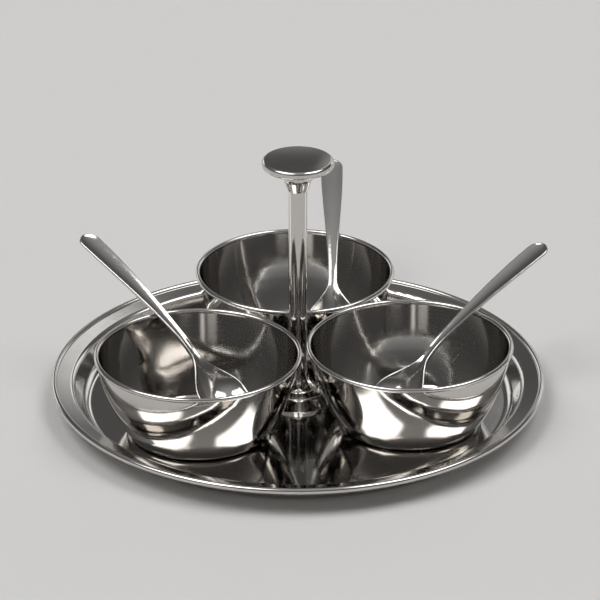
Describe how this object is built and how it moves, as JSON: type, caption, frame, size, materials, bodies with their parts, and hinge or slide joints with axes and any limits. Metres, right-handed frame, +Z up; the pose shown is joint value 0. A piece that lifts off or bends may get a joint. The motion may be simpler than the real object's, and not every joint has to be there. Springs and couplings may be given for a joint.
{
  "type": "condiment set",
  "caption": "Round steel tray with a raised rim and a central carrying handle, holding loose condiment bowls that each have a spoon leaning in them.",
  "frame": {"origin": "centre of the tray's flat underside, on the table, on the axis of the handle", "axes": "+Z up along the handle; +X to the right and +Y away from the viewer, with two bowls in front (-Y) and one behind the handle (+Y)"},
  "size_m": [0.2429, 0.2737, 0.1275],
  "materials": {
    "tray_steel": "polished",
    "handle_steel": "polished",
    "bowl_steel": "polished",
    "spoon_steel": "polished",
    "fixing_steel": "satin",
    "insert_brass": "satin"
  },
  "bodies": {
    "stand": {"tray": "tray_steel", "handle_post": "handle_steel", "handle_knob": "handle_steel", "knob_collar": "handle_steel", "foot_collar": "handle_steel", "upper_insert": "insert_brass", "lower_insert": "insert_brass", "tray_washer": "fixing_steel", "tray_screw": "fixing_steel"},
    "bowl_left": {"bowl_left": "bowl_steel"},
    "spoon_left": {"spoon_left": "spoon_steel"},
    "bowl_right": {"bowl_right": "bowl_steel"},
    "spoon_right": {"spoon_right": "spoon_steel"},
    "bowl_back": {"bowl_back": "bowl_steel"},
    "spoon_back": {"spoon_back": "spoon_steel"}
  },
  "joints": [
    {"name": "bowl_left_lift", "type": "slide", "parent": "stand", "child": "bowl_left", "axis": [0, 0, 1], "range_m": [0, 0.06]},
    {"name": "spoon_left_lift", "type": "slide", "parent": "bowl_left", "child": "spoon_left", "axis": [0, 0, 1], "range_m": [0, 0.06]},
    {"name": "bowl_right_lift", "type": "slide", "parent": "stand", "child": "bowl_right", "axis": [0, 0, 1], "range_m": [0, 0.06]},
    {"name": "spoon_right_lift", "type": "slide", "parent": "bowl_right", "child": "spoon_right", "axis": [0, 0, 1], "range_m": [0, 0.06]},
    {"name": "bowl_back_lift", "type": "slide", "parent": "stand", "child": "bowl_back", "axis": [0, 0, 1], "range_m": [0, 0.06]},
    {"name": "spoon_back_lift", "type": "slide", "parent": "bowl_back", "child": "spoon_back", "axis": [0, 0, 1], "range_m": [0, 0.06]}
  ]
}
